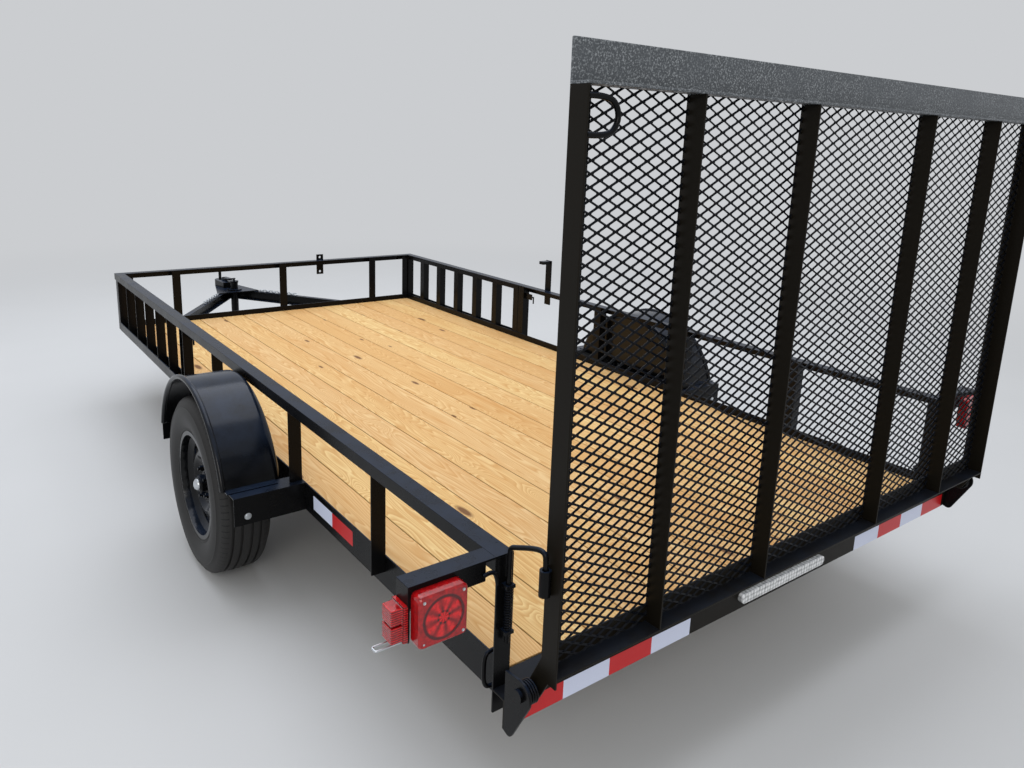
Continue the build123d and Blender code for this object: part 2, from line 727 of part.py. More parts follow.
def jack_crank():
    """Crank on the cap: an arm out to the left with an upright grip."""
    z = jack_top + 12
    shaft = rod((jack_x, 0, z), (jack_x, 0, z + 16), 16)
    arm = block(jack_x - 8, jack_x + 8, -10, crank_reach + 10, z + 16, z + 22)
    grip = rod((jack_x, crank_reach, z + 22), (jack_x, crank_reach, z + 22 + grip_height), 22)
    return shaft + arm + grip


def jack_leg():
    """Inner tube that winds down, with its foot plate on the floor."""
    foot = rod((jack_x, 0, 0), (jack_x, 0, 6), jack_foot_d)
    top = jack_outer_bottom + jack_leg_lap
    tube = rod((jack_x, 0, 6), (jack_x, 0, top), jack_inner_d) - rod((jack_x, 0, 12), (jack_x, 0, top + 1), jack_inner_d - 8)
    return foot + tube


def chain_link():
    """One welded link, lengthwise on X, flat in X-Y, its round ends drawn with four flats."""
    radius = (link_gap + link_wire) / 2 / cos(pi / 8)
    half = (link_inner - link_gap) / 2
    points = [(0, -(link_gap + link_wire) / 2, 0)]
    for end, start in ((half, -90), (-half, 90)):
        for i in range(4):
            turn = radians(start + 22.5 + 45 * i)
            points.append((end + radius * cos(turn), radius * sin(turn), 0))
    return bent_bar(points, link_wire, 6, close=True)


def safety_chain():
    """Links laid back along the top of a tongue bar."""
    link = chain_link()
    slope = radians(tongue_angle)
    pitch = link_inner - link_play
    lift = ((link_gap + link_wire) / 2 + link_wire / 2) * sin(radians(45)) + link_lift
    pieces = []
    for i in range(link_count):
        run = chain_start + (i + 0.5) * pitch
        place = Pos(tongue_apex - cos(slope) * run, sin(slope) * run, tongue_top + lift)
        turn = Rot(0, 0, -tongue_angle) * Rot(45 if i % 2 else -45, 0, 0)
        pieces.append(place * turn * link)
    return pieces


# ---- lamps and small fittings ---------------------------------------------------------
def lamp_arm():
    """Angle out from the rail's rear end, with a plate down its outer end."""
    top = block(0, angle, rail_half, lamp_arm_out, rail_top - angle_wall, rail_top)
    web = block(0, angle_wall, rail_half + arm_web_back, lamp_arm_out, rail_top - angle, rail_top - angle_wall)
    end = block(angle_wall, angle, lamp_arm_out - angle_wall, lamp_arm_out, rail_top - 130, rail_top - angle_wall)
    end += block(0, angle_wall, lamp_arm_out - angle_wall, lamp_arm_out, rail_top - 130, rail_top - angle)
    return top + web + end


def tail_lamp():
    """Square combination lamp on the rear face of the arm."""
    half = lamp_size / 2
    lens = Plane.YZ * Pos(lamp_mid_y, lamp_mid_z) * RectangleRounded(lamp_size, lamp_size, 12)
    body = Pos(-lamp_thick, 0, 0) * extrude(lens, amount=lamp_thick)
    front = body.faces().sort_by(Axis.X)[0]
    return chamfer(front.edges(), 4)


def side_marker():
    """Double-bulb marker lamp on the outer face of the arm's end plate."""
    sx, sy, sz = marker_size
    x_mid_lamp = angle / 2
    z_low = rail_top - 130 + 2
    base = block(x_mid_lamp - sx / 2, x_mid_lamp + sx / 2, lamp_arm_out, lamp_arm_out + 10, z_low, z_low + sz)
    shape = base
    for z in (z_low + sz * 0.26, z_low + sz * 0.74):
        shape += block(x_mid_lamp - sx / 2 + 6, x_mid_lamp + sx / 2 - 6, lamp_arm_out + 10, lamp_arm_out + sy,
                       z - sz * 0.22, z + sz * 0.22)
    return shape


def loop_clip():
    """Bent wire loop that stands out under the marker lamp."""
    d, bend = 5.0, 7.0
    z = rail_top - 130 - d / 2
    y0, y1 = lamp_arm_out - 4, lamp_arm_out + 66
    x0, x1 = 16.0, 34.0
    return bent_bar([
        (x0, y0, z), (x0, y1 - bend, z), (x0 + bend, y1, z), (x1 - bend, y1, z), (x1, y1 - bend, z), (x1, y0, z),
    ], d, 6)


def id_light_bar():
    """Long identification lamp with round ends in the middle of the sill."""
    outline = Plane.YZ * Pos(0, sill_top - sill_height / 2 + 2) * SlotOverall(416, 30)
    return Pos(sill_rear - 16, 0, 0) * extrude(outline, amount=16)


def rail_plate():
    """Two-hole flat bar welded to the face of the front rail."""
    plate = block(front_outer, front_outer + 6, -332, -281, 672, 815)
    for z in (692, 795):
        plate -= rod((front_outer - 5, -306, z), (front_outer + 12, -306, z), 16)
    return plate


def spare_carrier():
    """Upright flat bar on the right rail, with a stub for a spare wheel."""
    y = -rail_half
    bar = block(2355, 2406, y - 6, y, 690, 962)
    stub = block(2362, 2400, y, y + 58, 942, 960)
    return bar + stub


def ramp_latch():
    """Spring hook at the rear end of a stowed ramp."""
    y = bed_half + 14
    plate = block(2485, posts_left_at[3][0], y, y + 5, 700, 735)
    hook = rod((2470, y + 2.5, 718), (2485, y + 2.5, 718), 10)
    tail = rod((2470, y + 2.5, 680), (2470, y + 2.5, 723), 8)
    return plate + hook + tail


def ramp_marker():
    """Small red lamp on a rung of the stowed ramp."""
    x = ramp_rear + 2 * ramp_pitch + angle_wall
    y = bed_half + ramp_gap + angle_wall
    return block(x, x + 40, y, y + 20, 672, 708)


os.makedirs("parts", exist_ok=True)
save("frame_side_left", [side_frame()])
save("frame_side_right", [mirror_y(side_frame())])
save("frame_front", [front_frame()])
save("rear_sill", [rear_sill()])
save("joists", joists())
save("deck_boards", boards())
save("rail_left", [side_rail()])
save("rail_right", [mirror_y(side_rail())])
save("rail_front", [front_rail()])
save("posts_left", side_posts(posts_left_at))
save("posts_right", [mirror_y(p) for p in side_posts(posts_right_at)])
save("posts_front", front_posts())
save("side_ramp_left", [side_ramp()])
save("side_ramp_right", [mirror_y(side_ramp())])
save("ramp_latches", both_sides([ramp_latch()]))
save("ramp_markers", both_sides([ramp_marker()]))
save("gate_frame", [gate_frame()])
save("gate_uprights", gate_uprights())
save("gate_lip", [gate_lip()])
save("gate_mesh", gate_mesh())
save("gate_loop", [gate_loop()])
save("gate_sleeves", both_sides(gate_sleeves()))
save("hinge_ears", both_sides([hinge_ears()]))
save("hinge_pins", both_sides([hinge_pin()]))
save("gate_springs", both_sides([gate_spring()]))
save("gate_latches", both_sides([gate_latch()]))
save("latch_guides", both_sides(latch_guides()))
save("latch_springs", both_sides([latch_spring()]))
save("axle", [axle()])
save("leaf_springs", both_sides(leaf_spring()))
save("spring_hangers", both_sides(spring_hangers()))
save("spring_seats", both_sides(spring_seats()))
for side, place in (("left", lambda s: s), ("right", mirror_y)):
    save(f"tyre_{side}", [place(tyre())])
    save(f"wheel_{side}", [place(wheel())])
    save(f"hub_{side}", [place(hub())])
    save(f"fender_{side}", [place(fender())])
    save(f"tongue_{side}", [place(tongue_bar())])
save("fender_brackets", both_sides([fender_bracket(1), fender_bracket(-1)]))
save("coupler", [coupler()])
save("coupler_latch", coupler_latch())
save("jack_body", [jack_body()])
save("jack_crank", [jack_crank()])
save("jack_leg", [jack_leg()])
save("safety_chains", both_sides(safety_chain()))
save("lamp_arms", both_sides([lamp_arm()]))
save("tail_lamps", both_sides([tail_lamp()]))
save("side_markers", both_sides([side_marker()]))
save("loop_clips", both_sides([loop_clip()]))
save("id_light_bar", [id_light_bar()])
save("rail_plate", [rail_plate()])
save("spare_carrier", [spare_carrier()])
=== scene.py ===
"""Looks for a single-axle utility trailer: enamelled angle iron, pine boards, tyres, lamps and a mesh ramp gate."""
import math

import bpy
from mathutils import Matrix, Vector


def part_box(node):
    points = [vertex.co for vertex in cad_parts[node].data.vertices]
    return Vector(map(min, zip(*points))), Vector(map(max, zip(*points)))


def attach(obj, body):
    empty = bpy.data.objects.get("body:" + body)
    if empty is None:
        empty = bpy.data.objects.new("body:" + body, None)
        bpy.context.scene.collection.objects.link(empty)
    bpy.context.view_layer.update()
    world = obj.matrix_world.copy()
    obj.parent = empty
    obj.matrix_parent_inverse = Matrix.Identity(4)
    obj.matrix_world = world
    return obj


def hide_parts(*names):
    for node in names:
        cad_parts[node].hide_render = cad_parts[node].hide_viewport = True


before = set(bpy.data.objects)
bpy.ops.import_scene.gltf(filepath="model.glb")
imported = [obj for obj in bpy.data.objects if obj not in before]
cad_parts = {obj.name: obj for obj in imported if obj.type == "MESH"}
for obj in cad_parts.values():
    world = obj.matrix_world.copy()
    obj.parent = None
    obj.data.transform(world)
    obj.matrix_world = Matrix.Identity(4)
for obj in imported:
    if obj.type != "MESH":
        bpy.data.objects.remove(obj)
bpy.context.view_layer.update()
bpy.context.scene.view_settings.view_transform = "Standard"
mm = 0.001


# ---- camera ---------------------------------------------------------------------------
# The viewer stands behind the left rear corner, a little above the gate's middle,
# and looks down along the deck with a moderately wide lens.
posts_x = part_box("posts_left")[0][0]  # rear face of the rear posts, which the long sizes start from
eye = (posts_x - 1.2583, 1.9967, 1.6768)
yaw, pitch, roll = (math.radians(a) for a in (-36.89, -12.99, 1.98))
focal_px, centre_px, image_px = 787.12, (504.6, 319.9), (1024, 768)

bpy.ops.object.camera_add(location=eye)
camera = bpy.context.object
camera.rotation_mode = "QUATERNION"
ahead = Vector((math.cos(pitch) * math.cos(yaw), math.cos(pitch) * math.sin(yaw), math.sin(pitch)))
side = ahead.cross(Vector((0, 0, 1))).normalized()
above = side.cross(ahead)
right = side * math.cos(roll) + above * math.sin(roll)
up = above * math.cos(roll) - side * math.sin(roll)
camera.rotation_quaternion = Matrix((right, up, -ahead)).transposed().to_quaternion()
camera.data.sensor_fit = "HORIZONTAL"
camera.data.sensor_width = 36.0
camera.data.lens = camera.data.sensor_width * focal_px / image_px[0]
camera.data.shift_x = (image_px[0] / 2 - centre_px[0]) / image_px[0]
camera.data.shift_y = (centre_px[1] - image_px[1] / 2) / image_px[0]
camera.data.clip_end = 200
bpy.context.scene.camera = camera


# ---- studio ---------------------------------------------------------------------------
# A seamless pale grey studio: matt paper that fades into the surround with distance,
# a wide soft box overhead and a weaker one behind the viewer's left shoulder.
def linear(hex_colour):
    """sRGB hex to the linear colour that shaders take."""
    parts = [int(hex_colour[i:i + 2], 16) / 255 for i in (1, 3, 5)]
    return [c / 12.92 if c <= 0.04045 else ((c + 0.055) / 1.055) ** 2.4 for c in parts] + [1.0]


def node(tree, kind, links=None, **settings):
    """Add a shader node. Settings are attributes or socket values; links maps sockets to outputs."""
    made = tree.nodes.new(kind)
    for key, value in settings.items():
        if hasattr(made, key):
            setattr(made, key, value)
        else:
            made.inputs[key.replace("_", " ")].default_value = value
    for key, source in (links or {}).items():
        tree.links.new(source, made.inputs[key])
    return made


def arithmetic(tree, operation, first, second=None, clamped=False):
    """One sum on a socket and, where it takes two, on another socket or a number."""
    made = node(tree, "ShaderNodeMath", {0: first}, operation=operation, use_clamp=clamped)
    if isinstance(second, (int, float)):
        made.inputs[1].default_value = second
    elif second is not None:
        tree.links.new(second, made.inputs[1])
    return made.outputs[0]


def ramped(tree, value, *stops):
    """A colour ramp from (position, colour) stops in rising order; a colour is hex or a grey share."""
    made = node(tree, "ShaderNodeValToRGB", {"Fac": value})
    stops = [(at, linear(tint) if isinstance(tint, str) else (tint, tint, tint, 1)) for at, tint in stops]
    elements = made.color_ramp.elements
    elements[0].position, elements[0].color = stops[0]
    elements[1].position, elements[1].color = stops[-1]
    for position, colour in stops[1:-1]:
        elements.new(position).color = colour
    return made.outputs["Color"]


def new_material(name):
    """A material with an empty node tree, ready for its own nodes."""
    made = bpy.data.materials.new(name)
    made.use_nodes = True
    made.node_tree.nodes.clear()
    return made


def finish_material(material, shader):
    """Join the last shader to the surface."""
    output = material.node_tree.nodes.new("ShaderNodeOutputMaterial")
    material.node_tree.links.new(shader.outputs[0], output.inputs["Surface"])
    return material


surround_grey = "#cbcdd0"
world = bpy.data.worlds.new("studio")
world.use_nodes = True
bpy.context.scene.world = world
tree = world.node_tree
tree.nodes.clear()
ray = node(tree, "ShaderNodeLightPath").outputs
seen = arithmetic(tree, "ADD", ray["Is Camera Ray"], ray["Is Glossy Ray"])
seen = arithmetic(tree, "ADD", seen, ray["Is Transmission Ray"], clamped=True)
surround = node(tree, "ShaderNodeBackground", Color=linear(surround_grey), Strength=1.0)
fill = node(tree, "ShaderNodeBackground", Color=linear("#eceef0"), Strength=0.86)
mixed = node(tree, "ShaderNodeMixShader", {0: seen, 1: fill.outputs[0], 2: surround.outputs[0]})
node(tree, "ShaderNodeOutputWorld", {"Surface": mixed.outputs[0]})

for name, place, size, power, colour, aim in (
    ("overhead_box", (1.0, 0.0, 6.5), 7.0, 290, "#f2f6ff", (0.2, 0, 0)),
    ("shoulder_box", (-7.0, 5.0, 4.0), 3.5, 120, "#fffaf2", (-1, 0, 0.6)),
):
    bpy.ops.object.light_add(type="AREA", location=place)
    lamp = bpy.context.object
    lamp.name = name
    lamp.data.energy = power
    lamp.data.size = size
    lamp.data.color = linear(colour)[:3]
    lamp.rotation_euler = (Vector(aim) - Vector(place)).to_track_quat("-Z", "Y").to_euler()

bpy.ops.mesh.primitive_plane_add(size=120, location=(0, 0, -0.5 * mm))
floor = bpy.context.object
floor.name = "studio_floor"
paper = new_material("matt grey studio paper")
tree = paper.node_tree
place = node(tree, "ShaderNodeTexCoord").outputs["Object"]
far = node(tree, "ShaderNodeVectorMath", {0: place}, operation="LENGTH")
fade = node(tree, "ShaderNodeMapRange", {"Value": far.outputs["Value"]}, interpolation_type="SMOOTHSTEP",
            **{"From Min": 3.2, "From Max": 9.0})
mottle = node(tree, "ShaderNodeTexNoise", {"Vector": place}, Scale=0.8, Detail=3.0)
tone = ramped(tree, mottle.outputs["Fac"], (0.0, "#c6c7c8"), (1.0, "#cdcecf"))
surface = node(tree, "ShaderNodeBsdfPrincipled", {"Base Color": tone}, Roughness=0.85)
distance_glow = node(tree, "ShaderNodeEmission", Color=linear(surround_grey), Strength=1.0)
faded = node(tree, "ShaderNodeMixShader", {0: fade.outputs[0], 1: surface.outputs[0], 2: distance_glow.outputs[0]})
floor.data.materials.append(finish_material(paper, faded))


# ---- painted steel --------------------------------------------------------------------
# Frame, rails, posts, gate, tongue and running gear are mild steel under one sprayed coat
# of gloss black enamel: near black on upright faces, with a patchy painted navy reflection of
# the light above on the faces that point up, and faint orange peel. Rolled corners are eased by a bevel.
def ranged(tree, value, low=0.0, high=1.0, to_low=0.0, to_high=1.0):
    """Carry a value from one range to another and hold it at the ends."""
    limits = {"From Min": low, "From Max": high, "To Min": to_low, "To Max": to_high}
    return node(tree, "ShaderNodeMapRange", {"Value": value}, **limits).outputs[0]


def blend(tree, share, first, second):
    """Mix two colours, each a socket or hex."""
    made = node(tree, "ShaderNodeMix", {"Factor": share}, data_type="RGBA")
    for key, colour in (("A", first), ("B", second)):
        if isinstance(colour, str):
            made.inputs[key].default_value = linear(colour)
        else:
            tree.links.new(colour, made.inputs[key])
    return made.outputs["Result"]


def enamel(name, base, painted_sky_reflection, rough, specular, peel_mm):
    """Gloss enamel over steel: peel bump, cloudy roughness and a patchy painted sky reflection on the level faces."""
    made = new_material(name)
    tree = made.node_tree
    place = node(tree, "ShaderNodeTexCoord").outputs["Object"]
    peel = node(tree, "ShaderNodeTexNoise", {"Vector": place}, Scale=1000 / peel_mm, Detail=2.0).outputs["Fac"]
    cloud = node(tree, "ShaderNodeTexNoise", {"Vector": place}, Scale=9.0, Detail=6.0, Roughness=0.65).outputs["Fac"]
    gloss = ranged(tree, cloud, to_low=rough - 0.09, to_high=rough + 0.13)
    shape = node(tree, "ShaderNodeNewGeometry").outputs["Normal"]
    facing = node(tree, "ShaderNodeSeparateXYZ", {"Vector": shape})
    # Painted reflection: faces that point up take a navy tint in cloudy patches, standing in for the light above.
    level = ranged(tree, facing.outputs["Z"], 0.35, 0.9)
    sky_reflection_share = arithmetic(tree, "MULTIPLY", level, ranged(tree, cloud, 0.2, 0.6))
    bump = node(tree, "ShaderNodeBump", {"Height": peel}, Strength=0.12, Distance=0.4 * mm)
    surface = node(
        tree, "ShaderNodeBsdfPrincipled",
        {"Base Color": blend(tree, sky_reflection_share, base, painted_sky_reflection), "Roughness": gloss, "Normal": bump.outputs[0]},
        **{"Specular IOR Level": specular})
    return finish_material(made, surface)


def dress(name, material):
    """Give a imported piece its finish."""
    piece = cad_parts[name]
    piece.data.materials.clear()
    piece.data.materials.append(material)
    return piece


def eased(name, width_mm):
    """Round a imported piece's corners a little, as paint and rolling leave them."""
    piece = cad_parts[name]
    weld = piece.modifiers.new("weld", "WELD")
    weld.merge_threshold = 0.00001
    bevel = piece.modifiers.new("bevel", "BEVEL")
    bevel.width = width_mm * mm
    bevel.segments = 2
    bevel.limit_method = "ANGLE"
    bevel.angle_limit = math.radians(40)
    bevel.harden_normals = True
    return piece


black_enamel = enamel("gloss black sprayed enamel", "#0a0a0b", "#1b2536", 0.26, 0.13, 3.0)
thin_enamel = enamel("thin black enamel over brown primer", "#17140f", "#1b1f27", 0.36, 0.1, 3.0)
wet_enamel = enamel("wet-look black enamel on pressed steel", "#060709", "#1c2637", 0.16, 0.26, 6.0)
bed_steel = ("frame_side_left", "frame_side_right", "frame_front", "rear_sill", "joists", "fender_brackets")
rail_steel = ("rail_left", "rail_right", "rail_front", "posts_left", "posts_right", "posts_front",
              "side_ramp_left", "side_ramp_right", "rail_plate", "spare_carrier", "lamp_arms")
gate_steel = ("gate_frame", "gate_uprights", "hinge_ears", "latch_guides", "gate_sleeves", "hinge_pins",
              "gate_latches", "ramp_latches")
running_steel = ("axle", "leaf_springs", "spring_hangers", "spring_seats", "tongue_left", "tongue_right",
                 "coupler", "jack_body", "jack_crank", "jack_leg", "coupler_latch", "fender_left", "fender_right")
for name in bed_steel + rail_steel + gate_steel + running_steel:
    dress(name, black_enamel)
for name in ("gate_uprights", "gate_frame", "rear_sill"):
    dress(name, thin_enamel)
for name in ("fender_left", "fender_right"):
    dress(name, wet_enamel)
for name in bed_steel + rail_steel + ("gate_frame", "gate_uprights", "tongue_left", "tongue_right", "hinge_ears"):
    eased(name, 1.2)


# ---- deck boards ----------------------------------------------------------------------
# Fourteen 2 by 6 boards of treated yellow pine laid lengthwise: planed faces, eased
# edges, golden with brown late-wood lines that close round knots. Faces that point down get painted grey shade.
board_count = 14
board_gap = 4 * mm
deck_low, deck_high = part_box("deck_boards")
board_pitch = (deck_high[1] - deck_low[1] + board_gap) / board_count
pine = new_material("planed treated pine")
tree = pine.node_tree
place = node(tree, "ShaderNodeTexCoord").outputs["Object"]
apart = node(tree, "ShaderNodeSeparateXYZ", {"Vector": place})
across = arithmetic(tree, "SUBTRACT", apart.outputs["Y"], deck_low[1] - board_gap / 2)
board_share = arithmetic(tree, "DIVIDE", across, board_pitch)

# Each board is cut from its own part of the same wood, so its figure and tone are its own.
luck = node(tree, "ShaderNodeTexWhiteNoise", {"W": arithmetic(tree, "FLOOR", board_share)}, noise_dimensions="1D")
slide = node(tree, "ShaderNodeVectorMath", {0: luck.outputs["Color"]}, operation="SCALE", Scale=37.0)
moved = node(tree, "ShaderNodeVectorMath", {0: place, 1: slide.outputs[0]}, operation="ADD").outputs[0]


def stretched(scale):
    """The board's own place, scaled on each axis."""
    made = node(tree, "ShaderNodeMapping", {"Vector": moved})
    made.inputs["Scale"].default_value = scale
    return made.outputs[0]


# Growth rings: thirty bands of a slow noise, which swell where a knot is near.
wander = node(tree, "ShaderNodeTexNoise", {"Vector": stretched((0.5, 6.2, 6.2))},
              Scale=1.5, Detail=2.0, Roughness=0.45)
knots = node(tree, "ShaderNodeTexVoronoi", {"Vector": stretched((1.9, 6.4, 0.0))},
             voronoi_dimensions="2D", Scale=1.0, Randomness=1.0)
near_knot = ranged(tree, knots.outputs["Distance"], 0.0, 0.34, 1.0, 0.0)
swell = arithmetic(tree, "MULTIPLY", arithmetic(tree, "POWER", near_knot, 2.2), 7.0)
rings = arithmetic(tree, "ADD", arithmetic(tree, "MULTIPLY", wander.outputs["Fac"], 30.0), swell)
late_wood = ramped(tree, arithmetic(tree, "FRACT", rings), (0.0, 0), (0.86, 1), (1.0, 0))
fibre = node(tree, "ShaderNodeTexNoise", {"Vector": stretched((6.0, 420.0, 420.0))},
             Scale=1.0, Detail=4.0, Roughness=0.7).outputs["Fac"]

# Colour, from the ground up: board tone, warm stain, late wood, fibres, knots, painted shade at the board gaps, painted
# shade underneath.
wood = ramped(tree, luck.outputs["Value"], (0.0, "#f4d698"), (0.35, "#f0cc8b"), (0.7, "#edc992"), (1.0, "#e6bb7c"))
stain = node(tree, "ShaderNodeTexNoise", {"Vector": stretched((1.1, 8.0, 1.0))},
             Scale=1.3, Detail=4.0, Roughness=0.6)
wood = blend(tree, ranged(tree, stain.outputs["Fac"], 0.48, 0.72, 0.0, 0.6), wood, "#dba768")
wood = blend(tree, arithmetic(tree, "MULTIPLY", late_wood, 0.7), wood, "#cd9148")
wood = blend(tree, ranged(tree, fibre, 0.35, 0.8, 0.0, 0.3), wood, "#9c6a37")
chance = node(tree, "ShaderNodeSeparateXYZ", {"Vector": knots.outputs["Color"]})
knot_size = ranged(tree, chance.outputs["Y"], to_low=0.35, to_high=1.25)
knot_reach = arithmetic(tree, "DIVIDE", knots.outputs["Distance"], knot_size)
heart = ranged(tree, knot_reach, 0.05, 0.1, 0.9, 0.0)
picked = arithmetic(tree, "GREATER_THAN", chance.outputs["X"], 0.7)
wood = blend(tree, arithmetic(tree, "MULTIPLY", heart, picked), wood, "#6a4022")
# Painted shade: each board darkens along its edges, towards the gaps between boards.
off_middle = arithmetic(tree, "SUBTRACT", arithmetic(tree, "FRACT", board_share), 0.5)
gap_shade = ranged(tree, arithmetic(tree, "ABSOLUTE", off_middle), 0.476, 0.488, 0.0, 0.45)
wood = blend(tree, gap_shade, wood, "#7b5222")
facing = node(tree, "ShaderNodeSeparateXYZ", {"Vector": node(tree, "ShaderNodeNewGeometry").outputs["Normal"]})
# Painted shade: faces that point down are greyed.
wood = blend(tree, ranged(tree, facing.outputs["Z"], -0.2, -0.8, 0.0, 0.8), wood, "#4d4c4b")

relief = arithmetic(tree, "ADD", late_wood, fibre)
bump = node(tree, "ShaderNodeBump", {"Height": relief}, Strength=0.25, Distance=0.5 * mm)
surface = node(tree, "ShaderNodeBsdfPrincipled", {"Base Color": wood, "Normal": bump.outputs[0]},
               Roughness=0.62, **{"Specular IOR Level": 0.25})
finish_material(pine, surface)
dress("deck_boards", pine)
eased("deck_boards", 3.0)


# ---- gate lip -------------------------------------------------------------------------
# The steel angle along the gate's top is sprayed over mill scale and grit, so it is rougher
# than the rest. Its grey, speckled colour is partly the grit's own and partly painted reflection,
# with the brightest specks painted glints. Half-round weld beads close it over each inner upright.
grit_with_painted_glints = new_material("enamel over gritty mill scale with painted glints")
tree = grit_with_painted_glints.node_tree
place = node(tree, "ShaderNodeTexCoord").outputs["Object"]
grit_and_glint_noise = node(tree, "ShaderNodeTexNoise", {"Vector": place}, Scale=1000 / 4.5, Detail=2.0, Roughness=0.7).outputs["Fac"]
patches = node(tree, "ShaderNodeTexNoise", {"Vector": place}, Scale=14.0, Detail=5.0).outputs["Fac"]
# The bright specks are painted glints and the grey patches are partly painted reflection, over the grit's own texture.
tint = blend(tree, patches, ramped(tree, grit_and_glint_noise, (0.5, "#3d4145"), (0.68, "#b4b9bd")), "#4d5257")
bump = node(tree, "ShaderNodeBump", {"Height": grit_and_glint_noise}, Strength=0.6, Distance=1.2 * mm)
surface = node(tree, "ShaderNodeBsdfPrincipled", {"Base Color": tint, "Normal": bump.outputs[0]},
               Roughness=0.42, **{"Specular IOR Level": 0.5})
finish_material(grit_with_painted_glints, surface)
dress("gate_lip", grit_with_painted_glints)
eased("gate_lip", 2.0)


def select_only(piece):
    """Make a piece the only selected one, and the active one."""
    bpy.ops.object.select_all(action="DESELECT")
    piece.select_set(True)
    bpy.context.view_layer.objects.active = piece


def finish_piece(piece, name, body, material):
    """Settle a modelled piece: its place goes into its mesh, then it gets its name, body and finish."""
    select_only(piece)
    bpy.ops.object.transform_apply(location=True, rotation=True, scale=True)
    piece.name = name
    piece.data.materials.clear()
    piece.data.materials.append(material)
    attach(piece, body)
    return piece


def joined(parts):
    """Join modelled parts into one object."""
    select_only(parts[0])
    for part in parts:
        part.select_set(True)
    bpy.ops.object.join()
    return parts[0]


def apply_all(piece):
    """Apply a piece's modifiers in their order."""
    select_only(piece)
    for modifier in list(piece.modifiers):
        bpy.ops.object.modifier_apply(modifier=modifier.name)
    return piece


lip_low, lip_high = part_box("gate_lip")
bead_half = (4 * mm, 38 * mm, 12 * mm)
beads = []
for upright_y in (688 * mm, 282 * mm, -282 * mm, -688 * mm):
    bead_at = (lip_high[0] - 7 * mm, upright_y - 25 * mm, lip_low[2] + 6 * mm)
    bpy.ops.mesh.primitive_uv_sphere_add(segments=24, ring_count=12, radius=1.0, location=bead_at)
    bead = bpy.context.object
    bead.scale = bead_half
    bpy.ops.object.shade_smooth()
    bpy.ops.object.transform_apply(location=True, rotation=True, scale=True)
    beads.append(bead)
finish_piece(joined(beads), "lip_weld_beads", "gate", grit_with_painted_glints)


# ---- gate mesh ------------------------------------------------------------------------
# Raised expanded steel, 2 inch by 1 inch diamonds with twisted strands, sheared free along
# its edges and painted with the gate. One crossing of two strands is made and repeated.
diamond_long, diamond_short = 50.8 * mm, 25.4 * mm
strand_wide, strand_thick = 5.0 * mm, 1.5 * mm
strand_tilt = math.radians(30)
strand_length = math.hypot(diamond_long, diamond_short)
strand_slope = math.atan2(diamond_short, diamond_long)
bond_half = (3.2 * mm, 8.5 * mm, 1.9 * mm)  # the flat knuckle where strands meet
mesh_columns, mesh_rows = 41, 52


def expand(corner, columns, rows):
    """A sheet of diamonds from its low corner: two crossing strands and their bonds, repeated."""
    parts = []
    for sign in (1, -1):
        bpy.ops.mesh.primitive_cube_add(size=1.0, location=(0, 0, 0))
        strand = bpy.context.object
        strand.scale = (strand_thick, strand_length, strand_wide)
        bpy.ops.object.transform_apply(scale=True)
        strand.rotation_euler = (0, strand_tilt, 0)
        bpy.ops.object.transform_apply(rotation=True)
        strand.rotation_euler = (sign * strand_slope, 0, 0)
        bpy.ops.object.transform_apply(rotation=True)
        parts.append(strand)
    for share in (0, 0.5):
        bpy.ops.mesh.primitive_cylinder_add(vertices=6, radius=1.0, depth=1.0, rotation=(0, math.pi / 2, 0),
                                            location=(0, share * diamond_long, share * diamond_short))
        bond = bpy.context.object
        bond.scale = bond_half
        bpy.ops.object.transform_apply(location=True, rotation=True, scale=True)
        parts.append(bond)
    sheet = joined(parts)
    sheet.location = corner
    bpy.ops.object.transform_apply(location=True)
    for offset, count in (((0, diamond_long, 0), columns), ((0, 0, diamond_short), rows)):
        row = sheet.modifiers.new("row", "ARRAY")
        row.use_relative_offset = False
        row.use_constant_offset = True
        row.constant_offset_displace = offset
        row.count = count
    return apply_all(sheet)


mesh_low, mesh_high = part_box("gate_mesh")
mesh_x, mesh_bottom, mesh_top = mesh_low[0] - 6.5 * mm, mesh_low[2] - 16 * mm, lip_low[2]
expanded = expand((mesh_x, mesh_low[1], mesh_bottom), mesh_columns, mesh_rows)
bpy.ops.object.mode_set(mode="EDIT")
for point, normal in (
    ((0, mesh_low[1], 0), (0, -1, 0)), ((0, mesh_high[1], 0), (0, 1, 0)), ((0, 0, mesh_top), (0, 0, 1)),
):
    bpy.ops.mesh.select_all(action="SELECT")
    bpy.ops.mesh.bisect(plane_co=point, plane_no=normal, clear_outer=True, use_fill=False)
bpy.ops.object.mode_set(mode="OBJECT")
finish_piece(expanded, "expanded_mesh", "gate", black_enamel)
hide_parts("gate_mesh")


# ---- bent rods ------------------------------------------------------------------------
# The gate's corner loop, the wire loops under the marker lamps, the tie-down loops, the
# latch rods and the lamp leads are round bars bent to smooth curves, each drawn as one
# curve and made a mesh. Bends in a table are in mm, the rest in metres.
def bent_rod(points, radius, body, name, material):
    """Round bar along a smooth curve through its control points."""
    shape = bpy.data.curves.new(name, "CURVE")
    shape.dimensions = "3D"
    shape.bevel_depth = radius
    shape.bevel_resolution = 4
    shape.use_fill_caps = True
    shape.resolution_u = 8
    line = shape.splines.new("NURBS")
    line.points.add(len(points) - 1)
    for point, place in zip(line.points, points):
        point.co = (*place, 1.0)
    line.order_u = 3
    line.use_endpoint_u = True
    rod = bpy.data.objects.new(name, shape)
    bpy.context.collection.objects.link(rod)
    select_only(rod)
    bpy.ops.object.convert(target="MESH")
    bpy.ops.object.shade_smooth()
    return finish_piece(bpy.context.object, name, body, material)


